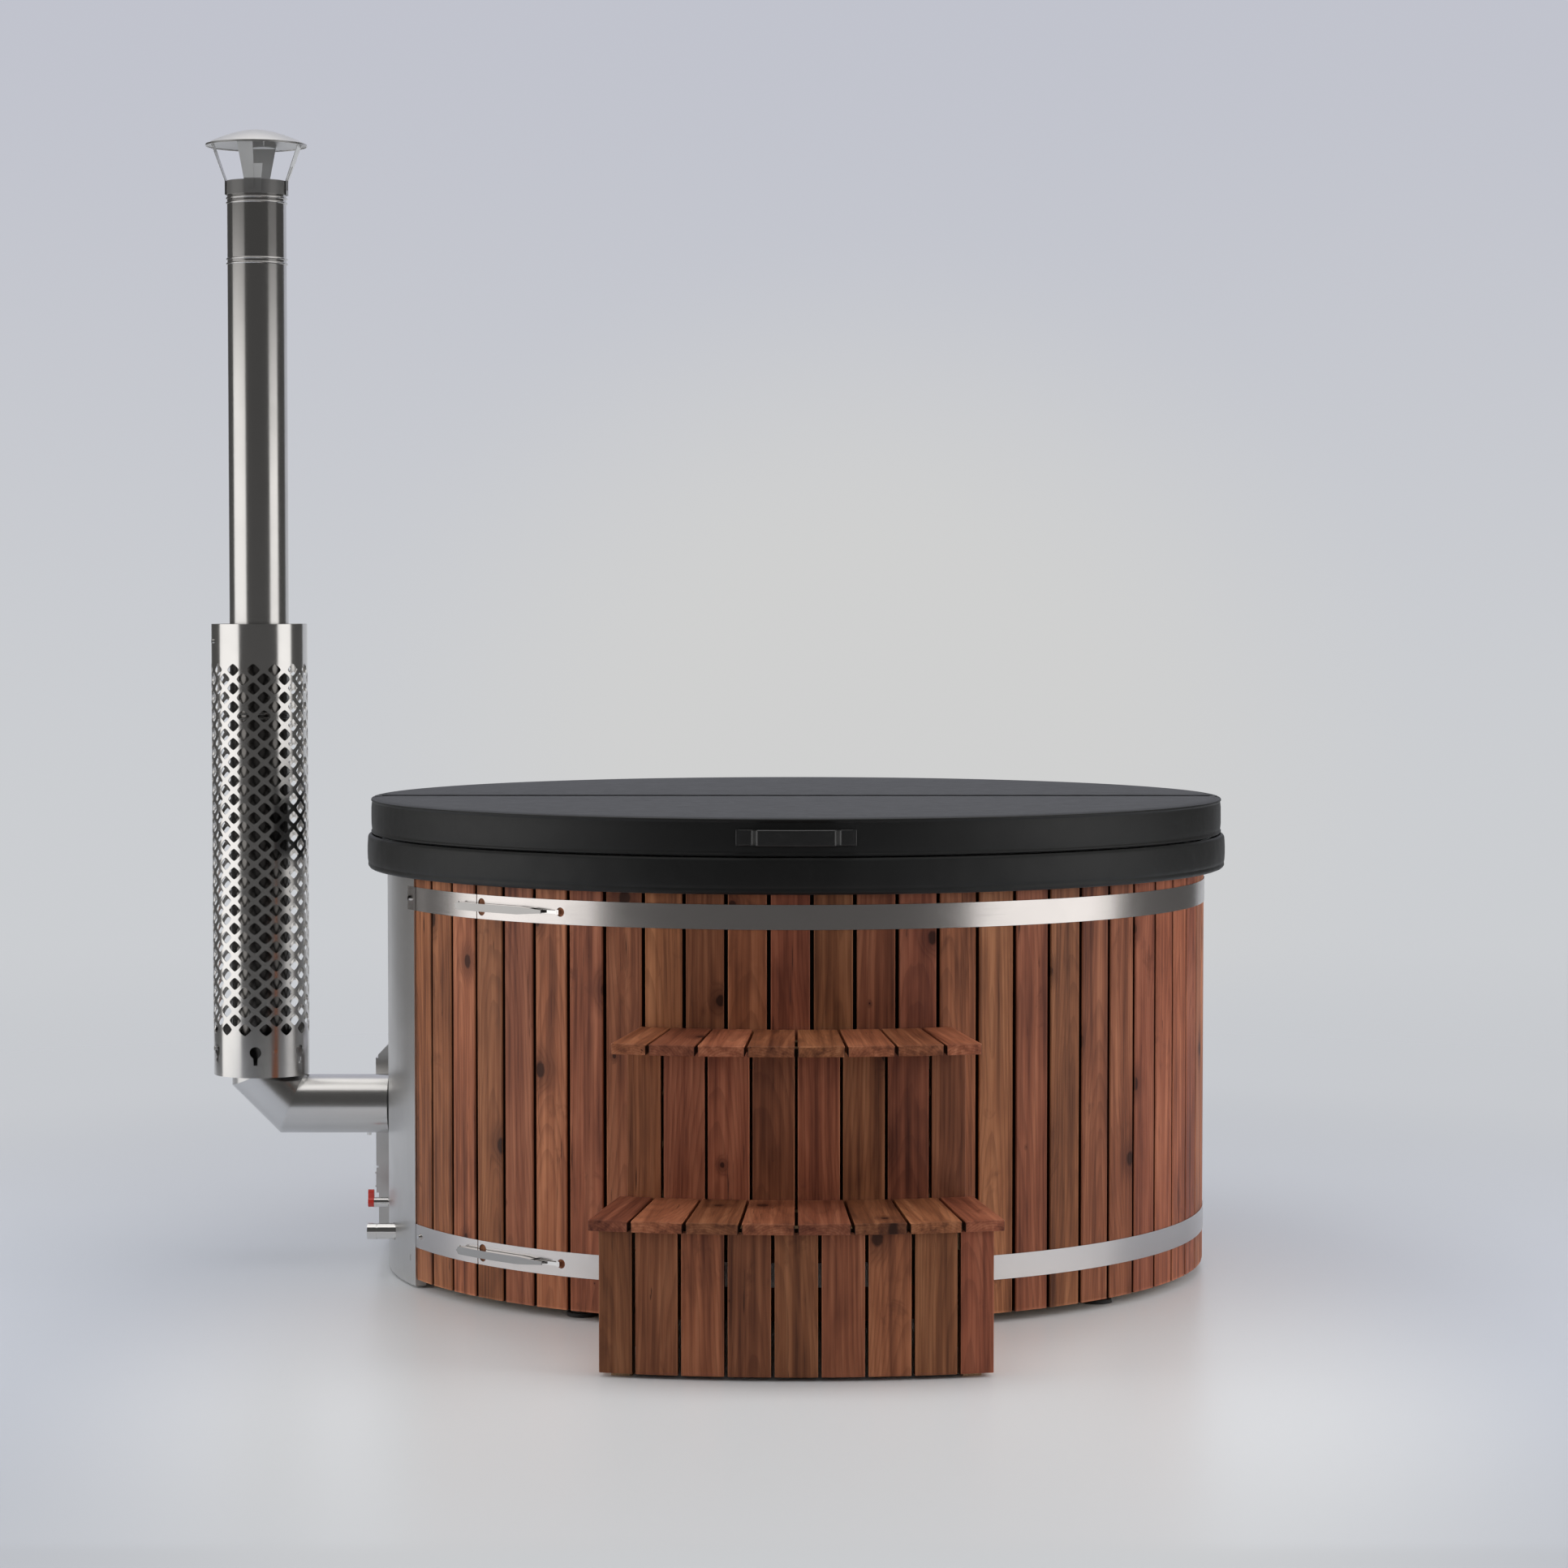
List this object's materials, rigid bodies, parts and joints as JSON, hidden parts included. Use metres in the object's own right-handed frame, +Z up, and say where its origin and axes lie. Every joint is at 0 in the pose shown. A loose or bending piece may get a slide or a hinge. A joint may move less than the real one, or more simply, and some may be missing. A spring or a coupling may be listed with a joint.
{
  "type": "wood-fired hot tub",
  "caption": "Round wood-clad hot tub with an inside stove, steel flue and chimney, latched bands, folding padded cover and curved steps.",
  "frame": {"origin": "on the tub's axis at floor height, under the middle foot", "axes": "+Z up along the tub's axis; the front with the steps faces -Y; the stove, flue and drain are on the -X side"},
  "size_m": [2.2448, 2.396, 2.5],
  "materials": {
    "stained_wood": "satin",
    "plain_wood": "matte",
    "plywood": "matte",
    "brushed_steel": "satin",
    "polished_steel": "polished",
    "stove_black": "matte",
    "grate_iron": "matte",
    "cover_leatherette": "satin",
    "strap": "satin",
    "foam": "matte",
    "heat_board": "matte",
    "gasket_rope": "matte",
    "membrane": "matte",
    "foot_rubber": "matte",
    "shell": "gloss",
    "lever_red": "gloss"
  },
  "bodies": {
    "tub": {"levelling_feet": "foot_rubber", "base_joists": "plain_wood", "frame_rings": "plywood", "floor_panel": "plywood", "insulation": "foam", "frame_studs": "plain_wood", "backing_membrane": "membrane", "inner_shell": "shell", "bench_supports": "plywood", "wall_staves": "stained_wood", "heat_board": "heat_board", "stove_wall_plate": "brushed_steel", "band_long_pieces": "brushed_steel", "band_short_pieces": "brushed_steel", "band_bolts": "polished_steel", "latch_bases": "polished_steel", "latch_pivot_pins": "polished_steel", "steps_lower_treads": "stained_wood", "steps_upper_treads": "stained_wood", "steps_lower_risers": "stained_wood", "steps_upper_risers": "stained_wood", "steps_side_boards": "stained_wood", "steps_frame": "plain_wood", "firebox": "stove_black", "grate": "grate_iron", "stove_door_frame": "brushed_steel", "door_hinge_pins": "polished_steel", "stove_fence": "plain_wood", "flue_elbow": "brushed_steel", "chimney_lower_pipe": "brushed_steel", "chimney_upper_pipe": "brushed_steel", "chimney_top_pipe": "brushed_steel", "cap_bracket": "brushed_steel", "rain_cone": "brushed_steel", "heat_guard": "brushed_steel", "guard_brackets": "brushed_steel", "drain_pipe": "polished_steel", "drain_outlet": "polished_steel", "valve_body": "polished_steel"},
    "lid_rear": {"lid_rear_jacket": "cover_leatherette", "lid_rear_core": "foam", "lid_rear_skirt": "cover_leatherette", "lid_rear_flap": "cover_leatherette", "lid_rear_handle": "strap"},
    "lid_front": {"lid_front_jacket": "cover_leatherette", "lid_front_core": "foam", "lid_front_skirt": "cover_leatherette", "lid_front_flap": "cover_leatherette", "lid_front_handle": "strap"},
    "upper_lever": {"upper_latch_lever": "polished_steel"},
    "upper_hook": {"upper_latch_hook": "polished_steel"},
    "lower_lever": {"lower_latch_lever": "polished_steel"},
    "lower_hook": {"lower_latch_hook": "polished_steel"},
    "stove_door": {"stove_door": "brushed_steel", "door_gasket": "gasket_rope", "door_handle": "polished_steel"},
    "ash_drawer": {"ash_drawer": "brushed_steel"},
    "air_slide": {"air_slide": "polished_steel"},
    "valve_lever": {"valve_lever": "lever_red"}
  },
  "joints": [
    {"name": "lid_lift", "type": "slide", "parent": "tub", "child": "lid_rear", "axis": [0, 0, 1], "range_m": [0, 0.6]},
    {"name": "lid_fold", "type": "hinge", "parent": "lid_rear", "child": "lid_front", "pos_m": [0, 0, 1.036], "axis": [-1, 0, 0], "range_deg": [0, 180]},
    {"name": "upper_lever_swing", "type": "hinge", "parent": "tub", "child": "upper_lever", "pos_m": [-0.70079, -0.58388, 0.833], "axis": [0, 0, -1], "range_deg": [0, 90]},
    {"name": "upper_hook_swing", "type": "hinge", "parent": "upper_lever", "child": "upper_hook", "pos_m": [-0.661, -0.62508, 0.833], "axis": [0, 0, -1], "range_deg": [-90, 0]},
    {"name": "lower_lever_swing", "type": "hinge", "parent": "tub", "child": "lower_lever", "pos_m": [-0.70079, -0.58388, 0.114], "axis": [0, 0, -1], "range_deg": [0, 90]},
    {"name": "lower_hook_swing", "type": "hinge", "parent": "lower_lever", "child": "lower_hook", "pos_m": [-0.661, -0.62508, 0.114], "axis": [0, 0, -1], "range_deg": [-90, 0]},
    {"name": "stove_door_swing", "type": "hinge", "parent": "tub", "child": "stove_door", "pos_m": [-0.945, 0.3203, 0.315], "axis": [0, 0, -1], "range_deg": [0, 100]},
    {"name": "ash_drawer_slide", "type": "slide", "parent": "tub", "child": "ash_drawer", "axis": [-1, 0, 0], "range_m": [0, 0.3]},
    {"name": "air_slide_travel", "type": "slide", "parent": "ash_drawer", "child": "air_slide", "axis": [0, 1, 0], "range_m": [0, 0.0116]},
    {"name": "valve_turn", "type": "hinge", "parent": "tub", "child": "valve_lever", "pos_m": [-0.94, -0.08, 0.138], "axis": [1, 0, 0], "range_deg": [0, 90]}
  ],
  "couplings": [
    {"joint": "upper_hook_swing", "follows": "upper_lever_swing", "ratio": -1},
    {"joint": "lower_hook_swing", "follows": "lower_lever_swing", "ratio": -1}
  ]
}
